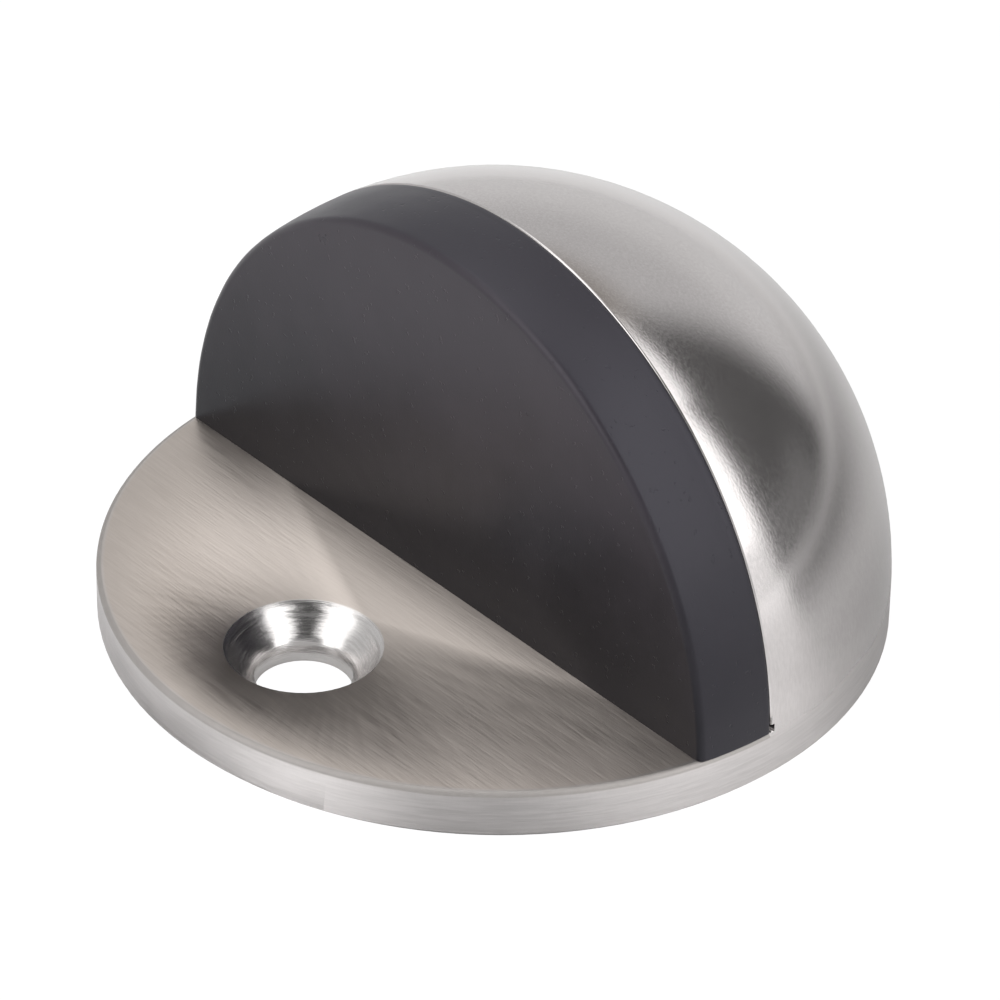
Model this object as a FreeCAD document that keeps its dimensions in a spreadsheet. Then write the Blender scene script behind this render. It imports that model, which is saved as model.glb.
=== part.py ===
"""Half-moon floor door holder: a cast dome, a moulded rubber buffer and what holds the two together.

Millimetres, +Z up, origin at the centre of the underside. The door meets the buffer from -Y, and the
whole holder is symmetrical about the YZ plane.
"""
import FreeCAD, Part
import math
import os

import Sketcher

# The driving sizes. Each row is the alias, the number and what it measures.
SIZES = (
    ("base_diameter", 45.0, "outside diameter of the base and of the dome"),
    ("base_thickness", 3.0, "height of the base plate's top face"),
    ("dome_centre_height", 2.5, "height of the dome's centre above the floor"),
    ("foot_chamfer", 0.3, "chamfer round the underside"),
    ("rim_round", 0.3, "round of the plate's top edge"),
    ("dome_wall", 1.9, "least metal outside the pocket, at its far end"),
    ("seat_offset", 0.5, "the buffer's seat, behind the dome's centre"),
    ("seat_edge_round", 0.2, "round of the dome's edge at the seat"),
    ("relief_depth", 0.3, "tool relief at the foot of the seat, into the dome"),
    ("relief_height", 0.5, "tool relief at the foot of the seat, upwards"),
    ("pocket_depth", 9.0, "pocket for the buffer's tongue, behind the seat"),
    ("pocket_corner_round", 2.0, "round of the pocket's two floor corners"),
    ("buffer_thickness", 4.8, "rubber that stands in front of the seat"),
    ("buffer_front_round", 0.5, "round of the rubber's front edge"),
    ("buffer_back_round", 0.15, "round of the rubber's edge at the seat"),
    ("tongue_side_clearance", 0.1, "gap between the tongue and the pocket's wall"),
    ("tongue_end_clearance", 0.3, "gap between the tongue and the pocket's end"),
    ("tongue_lead_in", 0.6, "chamfer of the tongue's far edge"),
    ("fixing_hole_edge_distance", 8.6, "centre of the floor screw's hole, inside the base's rim"),
    ("fixing_hole_diameter", 5.5, "through hole for the floor screw"),
    ("countersink_diameter", 8.24, "wide end of the 90 degree countersink"),
    ("countersink_mouth_diameter", 8.92, "mouth of the steep lip above the countersink"),
    ("countersink_lip_depth", 0.6, "depth of the steep lip"),
    ("insert_height", 5.0, "height of the steel bar inside the tongue"),
    ("insert_floor_cover", 1.5, "rubber under the bar"),
    ("insert_front_cover", 1.5, "tongue in front of the bar"),
    ("insert_back_cover", 1.2, "tongue behind the bar"),
    ("insert_side_cover", 3.7, "tongue beside the bar's upper corners"),
    ("screw_end_distance", 5.0, "screw axis inside the bar's end"),
    ("screw_size", 3.0, "thread diameter of the buffer's screws"),
    ("screw_length", 8.0, "overall length of the buffer's screws"),
    ("screw_head_diameter", 5.5, "countersunk head"),
    ("screw_head_land", 0.3, "straight edge of the head"),
    ("screw_head_recess", 0.1, "depth of the head below the underside"),
    ("screw_tip_chamfer", 0.4, "chamfer of the screw's tip"),
    ("screw_hole_clearance", 0.2, "gap round the shank in the plate and the rubber"),
    ("screw_tip_clearance", 0.5, "bore above the screw's tip"),
    ("thread_clearance", 0.05, "gap round the shank in the bar's tapped hole"),
    ("drive_slot_length", 2.9, "length of each arm pair of the cross recess"),
    ("drive_slot_width", 0.6, "width of each arm of the cross recess"),
    ("drive_depth", 1.2, "depth of the cross recess"),
    ("overcut", 1.0, "how far a cut runs on outside the metal"),
)

# Derived sizes, as expressions of the sheet's cells.
RADIUS = "(Sizes.base_diameter / 2)"
PLATE_TOP = "Sizes.base_thickness"
CENTRE_HEIGHT = "Sizes.dome_centre_height"
SEAT = "Sizes.seat_offset"
BUFFER_FRONT = "(Sizes.seat_offset - Sizes.buffer_thickness)"
POCKET_END = "(Sizes.seat_offset + Sizes.pocket_depth)"
END_SECTION = f"sqrt({RADIUS}^2 - {POCKET_END}^2)"
POCKET_RADIUS = f"({END_SECTION} - ({PLATE_TOP} - {CENTRE_HEIGHT}) - Sizes.dome_wall)"
TONGUE_RADIUS = f"({POCKET_RADIUS} - Sizes.tongue_side_clearance)"
TONGUE_LENGTH = "(Sizes.pocket_depth - Sizes.tongue_end_clearance)"
FIXING_HOLE = f"({RADIUS} - Sizes.fixing_hole_edge_distance)"

INSERT_FLOOR = f"({PLATE_TOP} + Sizes.insert_floor_cover)"
INSERT_RISE = "(Sizes.insert_floor_cover + Sizes.insert_height)"
INSERT_HALF = f"(sqrt({TONGUE_RADIUS}^2 - {INSERT_RISE}^2) - Sizes.insert_side_cover)"
INSERT_FRONT = "(Sizes.seat_offset + Sizes.insert_front_cover)"
INSERT_WIDTH = f"({TONGUE_LENGTH} - Sizes.insert_front_cover - Sizes.insert_back_cover)"

SCREW_ACROSS = f"({INSERT_HALF} - Sizes.screw_end_distance)"
SCREW_BACK = f"({INSERT_FRONT} + {INSERT_WIDTH} / 2)"
SCREW_TIP = "(Sizes.screw_head_recess + Sizes.screw_length)"
HEAD_RADIUS = "(Sizes.screw_head_diameter / 2)"
SHANK_RADIUS = "(Sizes.screw_size / 2)"
HEAD_SEAT_RADIUS = f"({HEAD_RADIUS} + Sizes.screw_head_land + Sizes.screw_head_recess)"
CLEARANCE_RADIUS = f"({SHANK_RADIUS} + Sizes.screw_hole_clearance)"
TAPPED_RADIUS = f"({SHANK_RADIUS} + Sizes.thread_clearance)"

ADDING = ("PartDesign::Revolution", "PartDesign::Pad")
TOLERANCE = 1e-4


def add_sizes(doc):
    """Writes the driving sizes into the document's sheet, one to a row."""
    sheet = doc.addObject("Spreadsheet::Sheet", "Sizes")
    for row, (alias, number, meaning) in enumerate(SIZES, start=1):
        sheet.set(f"A{row}", meaning)
        sheet.set(f"B{row}", str(number))
        sheet.setAlias(f"B{row}", alias)
    doc.recompute()


def value(item, expression):
    """The number that an expression of the sheet's cells comes to."""
    return float(item.evalExpression(expression))


def origin_plane(body, role):
    """One of the body's own origin planes."""
    return next(item for item in body.Origin.OriginFeatures if item.Role == role)


def new_body(doc, label):
    """An empty body whose label names its file."""
    body = doc.addObject("PartDesign::Body", label)
    body.Label = label
    return body


def new_sketch(body, name, plane, **shift):
    """A sketch on an origin plane, moved by expressions along the sketch's own x, y and z."""
    sketch = body.newObject("Sketcher::SketchObject", name)
    sketch.AttachmentSupport = [(origin_plane(body, plane), "")]
    sketch.MapMode = "FlatFace"
    for axis, expression in shift.items():
        sketch.setExpression(f"AttachmentOffset.Base.{axis}", expression)
    return sketch


def constrain(sketch, kind, place, expression):
    """Adds a dimension at a place, its geometry's number and point, and binds it to the sheet."""
    index = sketch.addConstraint(Sketcher.Constraint(kind, *place, value(sketch, expression)))
    sketch.setExpression(f"Constraints[{index}]", expression)


def draw_outline(sketch, corners, arcs=None):
    """Draws a closed outline, anticlockwise through its corners, each a pair of expressions.

    Side number n runs from corner n to the next. It is a line, or an arc where arcs gives n a centre.
    """
    arcs = arcs or {}
    points = [FreeCAD.Vector(value(sketch, x), value(sketch, y), 0) for x, y in corners]
    for side, start in enumerate(points):
        end = points[(side + 1) % len(points)]
        if side in arcs:
            centre = FreeCAD.Vector(*[value(sketch, place) for place in arcs[side]], 0)
            circle = Part.Circle(centre, FreeCAD.Vector(0, 0, 1), start.distanceToPoint(centre))
            first, last = (math.atan2(p.y - centre.y, p.x - centre.x) for p in (start, end))
            sketch.addGeometry(Part.ArcOfCircle(circle, first, last))
        else:
            sketch.addGeometry(Part.LineSegment(start, end))
    for side, (x, y) in enumerate(corners):
        before = (side - 1) % len(corners)
        sketch.addConstraint(Sketcher.Constraint("Coincident", before, 2, side, 1))
        constrain(sketch, "DistanceX", (side, 1), x)
        constrain(sketch, "DistanceY", (side, 1), y)
    for side, (_, height) in arcs.items():
        constrain(sketch, "DistanceY", (side, 3), height)


def draw_rectangle(sketch, left, bottom, right, top):
    """Draws a rectangle between two pairs of sides, each an expression."""
    draw_outline(sketch, ((left, bottom), (right, bottom), (right, top), (left, top)))


def draw_half_disc(sketch, radius):
    """Draws a D that lies on the plate, centred across the holder, with both floor corners rounded."""
    corner = "Sizes.pocket_corner_round"
    round_side = f"sqrt(({radius} - {corner})^2 - {corner}^2)"
    round_height = f"({PLATE_TOP} + {corner})"
    outward = f"{radius} / ({radius} - {corner})"
    arc_side = f"{round_side} * {outward}"
    arc_height = f"{PLATE_TOP} + {corner} * {outward}"
    corners = (
        (round_side, PLATE_TOP),
        (arc_side, arc_height),
        (f"-{arc_side}", arc_height),
        (f"-{round_side}", PLATE_TOP),
    )
    arcs = {
        0: (round_side, round_height),
        1: ("0", PLATE_TOP),
        2: (f"-{round_side}", round_height),
    }
    draw_outline(sketch, corners, arcs)


def new_feature(body, kind, name):
    """A PartDesign feature that leaves the faces as they are cut, with none merged."""
    feature = body.newObject(f"PartDesign::{kind}", name)
    feature.Refine = False
    return feature


def revolve(body, kind, name, sketch, axis="V_Axis"):
    """Turns a sketch once round one of its axes, adding (Revolution) or cutting (Groove)."""
    feature = new_feature(body, kind, name)
    feature.Profile = sketch
    feature.ReferenceAxis = (sketch, [axis])
    feature.Angle = 360
    return feature


def extrude(body, kind, name, sketch, length, side="One side", reverse=False):
    """Pushes a sketch straight, adding (Pad) or cutting (Pocket), over a length from the sheet."""
    feature = new_feature(body, kind, name)
    feature.Profile = sketch
    feature.SideType = side
    feature.Reversed = reverse
    feature.setExpression("Length", length)
    return feature


def mirror_across(body, feature, name):
    """Repeats a feature on the other side of the plane of symmetry."""
    mirrored = new_feature(body, "Mirrored", name)
    mirrored.Originals = [feature]
    mirrored.MirrorPlane = (origin_plane(body, "YZ_Plane"), [""])
    body.Tip = mirrored


def dress_edges(body, kind, name, size, test):
    """Rounds (Fillet) or bevels (Chamfer) the edges that lie wholly where the test holds."""
    body.Document.recompute()
    base = body.Tip
    edges = [
        f"Edge{number}"
        for number, edge in enumerate(base.Shape.Edges, start=1)
        if all(test(point) for point in edge.discretize(7))
    ]
    feature = new_feature(body, kind, name)
    feature.Base = (base, edges)
    feature.setExpression("Radius" if kind == "Fillet" else "Size", size)


def near(one, other):
    """Whether two lengths are the same."""
    return abs(one - other) < TOLERANCE


def make_dome_body(doc):
    """The casting: base plate and dome in one, with the seat, the pocket and the screw holes."""
    body = new_body(doc, "dome_body")
    make_base_plate(body)
    add_half_dome(body)
    cut_seat_relief(body)
    cut_tongue_pocket(body)
    cut_fixing_hole(body)
    cut_buffer_screw_holes(body)
    return body


def make_base_plate(body):
    """Turns the whole outside, and faces it off to the plate with its rounded rim."""
    profile = new_sketch(body, "outside_profile", "XZ_Plane")
    corners = (
        ("0", "0"),
        (f"{RADIUS} - Sizes.foot_chamfer", "0"),
        (RADIUS, "Sizes.foot_chamfer"),
        (RADIUS, CENTRE_HEIGHT),
        ("0", f"{CENTRE_HEIGHT} + {RADIUS}"),
    )
    draw_outline(profile, corners, {3: ("0", CENTRE_HEIGHT)})
    revolve(body, "Revolution", "outside", profile)
    face = new_sketch(body, "plate_face", "XY_Plane", z=PLATE_TOP)
    side = f"({RADIUS} + Sizes.overcut)"
    draw_rectangle(face, f"-{side}", f"-{side}", side, side)
    extrude(body, "Pocket", "facing", face, "Sizes.base_diameter", reverse=True)
    plate_top = value(body, PLATE_TOP)
    dress_edges(body, "Fillet", "plate_rim", "Sizes.rim_round", lambda point: near(point.z, plate_top))


def ball_edge(face, size, inward):
    """The round between the dome's ball and a plane across it, as expressions along Y and outward.

    Gives the round's centre and the point where it meets the ball, both measured from the ball's centre.
    """
    centre_along = f"({face} {inward} {size})"
    centre_out = f"sqrt(({RADIUS} - {size})^2 - {centre_along}^2)"
    reach = f"{RADIUS} / ({RADIUS} - {size})"
    return (centre_along, centre_out), (f"{centre_along} * {reach}", f"{centre_out} * {reach}")


def add_half_dome(body):
    """Adds the half ball behind the seat, with the round of its edge in the turned profile."""
    profile = new_sketch(body, "dome_profile", "XY_Plane", z=CENTRE_HEIGHT)
    (round_back, round_side), (ball_back, ball_side) = ball_edge(SEAT, "Sizes.seat_edge_round", "+")
    corners = (("0", SEAT), (round_side, SEAT), (ball_side, ball_back), ("0", RADIUS))
    draw_outline(profile, corners, {1: (round_side, round_back), 2: ("0", "0")})
    dome = revolve(body, "Revolution", "half_dome", profile)
    dome.Angle = 180
    dome.Reversed = True


def cut_seat_relief(body):
    """Runs the tool relief along the foot of the seat."""
    sketch = new_sketch(body, "relief_outline", "YZ_Plane")
    back = f"{SEAT} + Sizes.relief_depth"
    top = f"{PLATE_TOP} + Sizes.relief_height"
    draw_rectangle(sketch, f"{SEAT} - Sizes.overcut", PLATE_TOP, back, top)
    width = "Sizes.base_diameter + 2 * Sizes.overcut"
    extrude(body, "Pocket", "seat_relief", sketch, width, side="Symmetric")


def cut_tongue_pocket(body):
    """Sinks the half-disc pocket that the buffer's tongue fills."""
    sketch = new_sketch(body, "pocket_outline", "XZ_Plane", z=f"-{SEAT}")
    draw_half_disc(sketch, POCKET_RADIUS)
    extrude(body, "Pocket", "tongue_pocket", sketch, "Sizes.pocket_depth")


def cut_fixing_hole(body):
    """Bores the plate for the floor screw: lip, 90 degree countersink and through hole."""
    sketch = new_sketch(body, "fixing_hole_profile", "XZ_Plane", z=FIXING_HOLE)
    hole = "Sizes.fixing_hole_diameter / 2"
    cone = "Sizes.countersink_diameter / 2"
    mouth = "Sizes.countersink_mouth_diameter / 2"
    cone_top = f"{PLATE_TOP} - Sizes.countersink_lip_depth"
    below = "-Sizes.overcut"
    above = f"{PLATE_TOP} + Sizes.overcut"
    corners = (
        ("0", below),
        (hole, below),
        (hole, f"{cone_top} - ({cone} - {hole})"),
        (cone, cone_top),
        (mouth, PLATE_TOP),
        (mouth, above),
        ("0", above),
    )
    draw_outline(sketch, corners)
    revolve(body, "Groove", "fixing_hole", sketch)


def cut_buffer_screw_holes(body):
    """Bores and countersinks the plate from below for the two screws into the buffer's bar."""
    sketch = new_sketch(body, "screw_hole_profile", "XZ_Plane", x=SCREW_ACROSS, z=f"-{SCREW_BACK}")
    below = "-Sizes.overcut"
    above = f"{PLATE_TOP} + Sizes.overcut"
    corners = (
        ("0", below),
        (HEAD_SEAT_RADIUS, below),
        (HEAD_SEAT_RADIUS, "0"),
        (CLEARANCE_RADIUS, f"{HEAD_SEAT_RADIUS} - {CLEARANCE_RADIUS}"),
        (CLEARANCE_RADIUS, above),
        ("0", above),
    )
    draw_outline(sketch, corners)
    hole = revolve(body, "Groove", "screw_hole_right", sketch)
    mirror_across(body, hole, "screw_hole_left")


def make_rubber_buffer(doc):
    """The moulding: a slice of the dome's ball in front of the seat, and the tongue behind it."""
    body = new_body(doc, "rubber_buffer")
    turn_slice(body)
    cut_slice_foot(body)
    add_tongue(body)
    sink_insert_bed(body)
    return body


def turn_slice(body):
    """Turns the slice about the ball's axis along Y, with its front and back edges rounded."""
    profile = new_sketch(body, "slice_profile", "YZ_Plane", y=CENTRE_HEIGHT)
    front_round, front_ball = ball_edge(BUFFER_FRONT, "Sizes.buffer_front_round", "+")
    back_round, back_ball = ball_edge(SEAT, "Sizes.buffer_back_round", "-")
    corners = (
        (BUFFER_FRONT, "0"),
        (BUFFER_FRONT, f"-{front_round[1]}"),
        (front_ball[0], f"-{front_ball[1]}"),
        (back_ball[0], f"-{back_ball[1]}"),
        (SEAT, f"-{back_round[1]}"),
        (SEAT, "0"),
    )
    arcs = {
        1: (front_round[0], f"-{front_round[1]}"),
        2: ("0", "0"),
        3: (back_round[0], f"-{back_round[1]}"),
    }
    draw_outline(profile, corners, arcs)
    revolve(body, "Revolution", "slice", profile, axis="H_Axis")


def cut_slice_foot(body):
    """Takes away the part of the slice that the base plate fills."""
    sketch = new_sketch(body, "foot_outline", "XZ_Plane", z=f"-{SEAT}")
    side = f"({RADIUS} + Sizes.overcut)"
    draw_rectangle(sketch, f"-{side}", f"-{side}", side, PLATE_TOP)
    depth = "2 * (Sizes.buffer_thickness + Sizes.overcut)"
    extrude(body, "Pocket", "slice_foot", sketch, depth, side="Symmetric")


def add_tongue(body):
    """Adds the half-disc tongue behind the seat, with a lead-in round its far edge."""
    sketch = new_sketch(body, "tongue_outline", "XZ_Plane", z=f"-{SEAT}")
    draw_half_disc(sketch, TONGUE_RADIUS)
    extrude(body, "Pad", "tongue", sketch, TONGUE_LENGTH, reverse=True)
    far_face = value(body, f"{SEAT} + {TONGUE_LENGTH}")

    def on_far_face(point):
        return near(point.y, far_face)

    dress_edges(body, "Chamfer", "tongue_lead_in", "Sizes.tongue_lead_in", on_far_face)


def sink_insert_bed(body):
    """Opens the screws' ways into the tongue, and the bed in it where the steel bar is moulded in."""
    way = new_sketch(body, "screw_way_profile", "XZ_Plane", x=SCREW_ACROSS, z=f"-{SCREW_BACK}")
    below = f"{PLATE_TOP} - Sizes.overcut"
    draw_rectangle(way, "0", below, CLEARANCE_RADIUS, f"{SCREW_TIP} + Sizes.screw_tip_clearance")
    hole = revolve(body, "Groove", "screw_way_right", way)
    mirror_across(body, hole, "screw_way_left")
    bed = new_sketch(body, "bed_outline", "XY_Plane", z=INSERT_FLOOR)
    back = f"{INSERT_FRONT} + {INSERT_WIDTH}"
    draw_rectangle(bed, f"-{INSERT_HALF}", INSERT_FRONT, INSERT_HALF, back)
    extrude(body, "Pocket", "insert_bed", bed, "Sizes.insert_height", reverse=True)


def make_buffer_insert(doc):
    """The steel bar inside the tongue, with a tapped hole near each end."""
    body = new_body(doc, "buffer_insert")
    outline = new_sketch(body, "bar_outline", "XY_Plane")
    half_width = f"{INSERT_WIDTH} / 2"
    draw_rectangle(outline, f"-{INSERT_HALF}", f"-{half_width}", INSERT_HALF, half_width)
    extrude(body, "Pad", "bar", outline, "Sizes.insert_height")
    bore = new_sketch(body, "tapped_hole_profile", "XZ_Plane", x=SCREW_ACROSS)
    above = "Sizes.insert_height + Sizes.overcut"
    draw_rectangle(bore, "0", "-Sizes.overcut", TAPPED_RADIUS, above)
    hole = revolve(body, "Groove", "tapped_hole_right", bore)
    mirror_across(body, hole, "tapped_hole_left")
    body.setExpression("Placement.Base.y", SCREW_BACK)
    body.setExpression("Placement.Base.z", INSERT_FLOOR)
    return body


def make_buffer_screw(doc, side, across):
    """A countersunk cross-head screw, head down, that draws the bar against the plate."""
    body = new_body(doc, f"buffer_screw_{side}")
    profile = new_sketch(body, "screw_profile", "XZ_Plane")
    tip_radius = f"{SHANK_RADIUS} - Sizes.screw_tip_chamfer"
    corners = (
        ("0", "0"),
        (HEAD_RADIUS, "0"),
        (HEAD_RADIUS, "Sizes.screw_head_land"),
        (SHANK_RADIUS, f"Sizes.screw_head_land + {HEAD_RADIUS} - {SHANK_RADIUS}"),
        (SHANK_RADIUS, "Sizes.screw_length - Sizes.screw_tip_chamfer"),
        (tip_radius, "Sizes.screw_length"),
        ("0", "Sizes.screw_length"),
    )
    draw_outline(profile, corners)
    revolve(body, "Revolution", "screw_blank", profile)
    arm = new_sketch(body, "drive_arm", "XY_Plane")
    arm_half = "Sizes.drive_slot_length / 2"
    arm_side = "Sizes.drive_slot_width / 2"
    draw_rectangle(arm, f"-{arm_half}", f"-{arm_side}", arm_half, arm_side)
    slot = extrude(body, "Pocket", "drive_slot", arm, "Sizes.drive_depth", reverse=True)
    cross = new_feature(body, "PolarPattern", "drive_cross")
    cross.Originals = [slot]
    cross.Axis = (arm, ["N_Axis"])
    cross.Angle = 90
    cross.Occurrences = 2
    body.Tip = cross
    body.setExpression("Placement.Base.x", across)
    body.setExpression("Placement.Base.y", SCREW_BACK)
    body.setExpression("Placement.Base.z", "Sizes.screw_head_recess")
    return body


def check_body(body):
    """Stops if a feature failed, or if it left the metal or rubber as it was."""
    volume = 0.0
    for feature in body.Group:
        if "Invalid" in feature.State or "Error" in feature.State:
            raise RuntimeError(f"{body.Label}: {feature.Label} failed")
        if not feature.isDerivedFrom("PartDesign::Feature"):
            continue
        change = feature.Shape.Volume - volume
        if (change > 0) != (feature.TypeId in ADDING) or near(change, 0):
            raise RuntimeError(f"{body.Label}: {feature.Label} changed the volume by {change:.4f}")
        volume = feature.Shape.Volume
    shape = body.Shape
    if shape.isNull() or not shape.isValid() or len(shape.Solids) != 1:
        raise RuntimeError(f"{body.Label}: not one valid solid")


def check_document(doc):
    """Stops if any object of the document failed to recompute."""
    for item in doc.Objects:
        if "Invalid" in item.State or "Error" in item.State:
            raise RuntimeError(f"{item.Label} failed")


def main():
    """Builds the five pieces, checks them and writes each to its own file."""
    doc = FreeCAD.newDocument("floor_door_holder")
    add_sizes(doc)
    bodies = [
        make_dome_body(doc),
        make_rubber_buffer(doc),
        make_buffer_insert(doc),
        make_buffer_screw(doc, "left", f"-{SCREW_ACROSS}"),
        make_buffer_screw(doc, "right", SCREW_ACROSS),
    ]
    doc.recompute()
    check_document(doc)
    os.makedirs("parts", exist_ok=True)
    for body in bodies:
        check_body(body)
    for body in bodies:
        body.Shape.exportStep(f"parts/{body.Label}.step")
        box = body.Shape.optimalBoundingBox()
        print(f"{body.Label}: {body.Shape.Volume:.1f} mm3, z {box.ZMin:.2f} to {box.ZMax:.2f}")


main()
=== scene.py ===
"""Floor door holder: a cast half dome on a round plate, with a moulded rubber buffer for the door.

Sizes are in millimetres and turned to metres as each mesh is finished. +Z is up, the plate stands on
the floor at z = 0, and the door comes from -Y.
"""
import logging
import math
from dataclasses import dataclass, field
from enum import StrEnum

import bmesh
import bpy
from mathutils import Matrix, Vector, noise


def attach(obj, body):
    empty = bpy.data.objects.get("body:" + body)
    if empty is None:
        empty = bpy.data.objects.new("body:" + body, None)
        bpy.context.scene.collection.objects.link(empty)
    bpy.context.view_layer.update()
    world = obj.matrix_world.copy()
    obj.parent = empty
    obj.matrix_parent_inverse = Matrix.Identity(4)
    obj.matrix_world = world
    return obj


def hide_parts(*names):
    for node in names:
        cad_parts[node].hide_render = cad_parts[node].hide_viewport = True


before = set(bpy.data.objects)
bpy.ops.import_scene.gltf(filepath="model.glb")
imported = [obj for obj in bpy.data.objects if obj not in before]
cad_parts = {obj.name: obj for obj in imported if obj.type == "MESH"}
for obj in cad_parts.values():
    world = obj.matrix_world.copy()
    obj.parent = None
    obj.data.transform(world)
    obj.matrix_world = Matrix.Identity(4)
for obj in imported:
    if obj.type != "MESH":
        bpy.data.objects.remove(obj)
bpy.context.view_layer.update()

# A millimetre and a micrometre in metres, and how close two points count as one, in millimetres.
MM = 0.001
MICROMETRE = 1e-6
TOUCH = 1e-4
LOG = logging.getLogger("door_holder")
Socket = bpy.types.NodeSocket


class Side(StrEnum):
    """Left is towards -X and right towards +X, as the door sees the holder."""

    LEFT = "left"
    RIGHT = "right"


class NodeBench:
    """Lays out the nodes of one procedural finish, working in millimetres."""

    def __init__(self, name: str) -> None:
        """Starts an empty material.

        Args:
            name: the material's name.
        """
        self.material: bpy.types.Material = bpy.data.materials.new(name)
        self.material.use_nodes = True
        self.tree: bpy.types.NodeTree = self.material.node_tree
        self.tree.nodes.clear()
        self.place: Socket = self._place_in_millimetres()

    def _place_in_millimetres(self) -> Socket:
        """The piece's own coordinates.

        Returns:
            A vector socket in millimetres.
        """
        here = self.add("ShaderNodeTexCoord")
        scale = self.add("ShaderNodeMapping")
        scale.inputs["Scale"].default_value = (1 / MM, 1 / MM, 1 / MM)
        self.tree.links.new(here.outputs["Object"], scale.inputs["Vector"])
        return scale.outputs["Vector"]

    def add(self, kind: str, **settings: object) -> bpy.types.Node:
        """Adds a node.

        Args:
            kind: the node's type.
            **settings: the node's own properties.

        Returns:
            The new node.
        """
        node = self.tree.nodes.new(kind)
        for name, setting in settings.items():
            setattr(node, name, setting)
        return node

    def feed(self, node: bpy.types.Node, entry: object, source: object) -> None:
        """Gives a socket a link or a plain value.

        Args:
            node: the node to feed.
            entry: the input's name or number.
            source: another node's socket, or a value.
        """
        if isinstance(source, bpy.types.NodeSocket):
            self.tree.links.new(source, node.inputs[entry])
        else:
            node.inputs[entry].default_value = source

    def maths(self, operation: str, *sources: object) -> Socket:
        """One arithmetic step.

        Args:
            operation: the Math node's operation.
            *sources: its inputs, sockets or numbers.

        Returns:
            The result.
        """
        node = self.add("ShaderNodeMath", operation=operation)
        for entry, source in enumerate(sources):
            self.feed(node, entry, source)
        return node.outputs[0]

    def along(self, axis: str) -> Socket:
        """One coordinate of the surface point, in millimetres.

        Args:
            axis: X, Y or Z.

        Returns:
            The coordinate.
        """
        node = self.add("ShaderNodeSeparateXYZ")
        self.feed(node, 0, self.place)
        return node.outputs[axis]

    def point(self, x: object, y: object, z: object) -> Socket:
        """Puts three numbers together as a vector.

        Args:
            x: first number or socket.
            y: second number or socket.
            z: third number or socket.

        Returns:
            The vector.
        """
        node = self.add("ShaderNodeCombineXYZ")
        for entry, source in enumerate((x, y, z)):
            self.feed(node, entry, source)
        return node.outputs[0]

    def length(self, x: object, y: object) -> Socket:
        """Distance of a flat point from the origin.

        Args:
            x: first coordinate.
            y: second coordinate.

        Returns:
            The distance.
        """
        node = self.add("ShaderNodeVectorMath", operation="LENGTH")
        self.feed(node, 0, self.point(x, y, 0.0))
        return node.outputs["Value"]

    def step(self, source: Socket, low: float, high: float) -> Socket:
        """A soft step from 0 at low to 1 at high; low above high falls instead.

        Args:
            source: the measured number.
            low: where the result is 0.
            high: where the result is 1.

        Returns:
            The step, from 0 to 1.
        """
        node = self.add("ShaderNodeMapRange", interpolation_type="SMOOTHSTEP")
        falling = low > high
        self.feed(node, "Value", source)
        self.feed(node, "From Min", min(low, high))
        self.feed(node, "From Max", max(low, high))
        self.feed(node, "To Min", 1.0 if falling else 0.0)
        self.feed(node, "To Max", 0.0 if falling else 1.0)
        return node.outputs["Result"]

    def noise(self, where: Socket, scale: float, detail: float, rough: float) -> Socket:
        """Smooth cloudy noise from 0 to 1.

        Args:
            where: the coordinates to read.
            scale: cells in each unit of those coordinates.
            detail: how many finer layers it has.
            rough: how strong the finer layers are.

        Returns:
            The noise.
        """
        node = self.add("ShaderNodeTexNoise")
        self.feed(node, "Vector", where)
        self.feed(node, "Scale", scale)
        self.feed(node, "Detail", detail)
        self.feed(node, "Roughness", rough)
        return node.outputs["Fac"]

    def stretched(self, scale: tuple[float, float, float], shift: float = 0.0) -> Socket:
        """The surface point stretched along the axes.

        Args:
            scale: factor along X, Y and Z.
            shift: moves the pattern, so that two readings differ.

        Returns:
            The coordinates.
        """
        node = self.add("ShaderNodeMapping")
        self.feed(node, "Vector", self.place)
        self.feed(node, "Scale", scale)
        self.feed(node, "Location", (shift, shift, shift))
        return node.outputs["Vector"]

    def blend(self, share: Socket, low: object, high: object) -> Socket:
        """Mixes two numbers.

        Args:
            share: 0 for low, 1 for high.
            low: first number or socket.
            high: second number or socket.

        Returns:
            The mixed number.
        """
        node = self.add("ShaderNodeMix", data_type="FLOAT")
        self.feed(node, 0, share)
        self.feed(node, 2, low)
        self.feed(node, 3, high)
        return node.outputs[0]

    def tint(self, share: Socket, low: object, high: object) -> Socket:
        """Mixes two colours.

        Args:
            share: 0 for low, 1 for high.
            low: first colour or socket.
            high: second colour or socket.

        Returns:
            The mixed colour.
        """
        node = self.add("ShaderNodeMix", data_type="RGBA")
        self.feed(node, 0, share)
        for entry, colour in ((6, low), (7, high)):
            plain = isinstance(colour, tuple) and len(colour) == 3
            self.feed(node, entry, (*colour, 1.0) if plain else colour)
        return node.outputs[2]

    def bump(self, height: Socket, micrometres: float) -> Socket:
        """Turns a height from 0 to 1 into a tilted normal.

        Args:
            height: the height pattern.
            micrometres: what a height of 1 stands for.

        Returns:
            The new normal.
        """
        node = self.add("ShaderNodeBump")
        self.feed(node, "Strength", 1.0)
        self.feed(node, "Distance", micrometres * MICROMETRE)
        self.feed(node, "Height", height)
        return node.outputs["Normal"]

    def shade(self, **inputs: object) -> bpy.types.Material:
        """Closes the tree with a Principled shader.

        Args:
            **inputs: its inputs, with underscores for spaces.

        Returns:
            The finished material.
        """
        shader = self.add("ShaderNodeBsdfPrincipled")
        for name, source in inputs.items():
            self.feed(shader, name.replace("_", " "), source)
        output = self.add("ShaderNodeOutputMaterial")
        self.feed(output, "Surface", shader.outputs["BSDF"])
        return self.material


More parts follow.
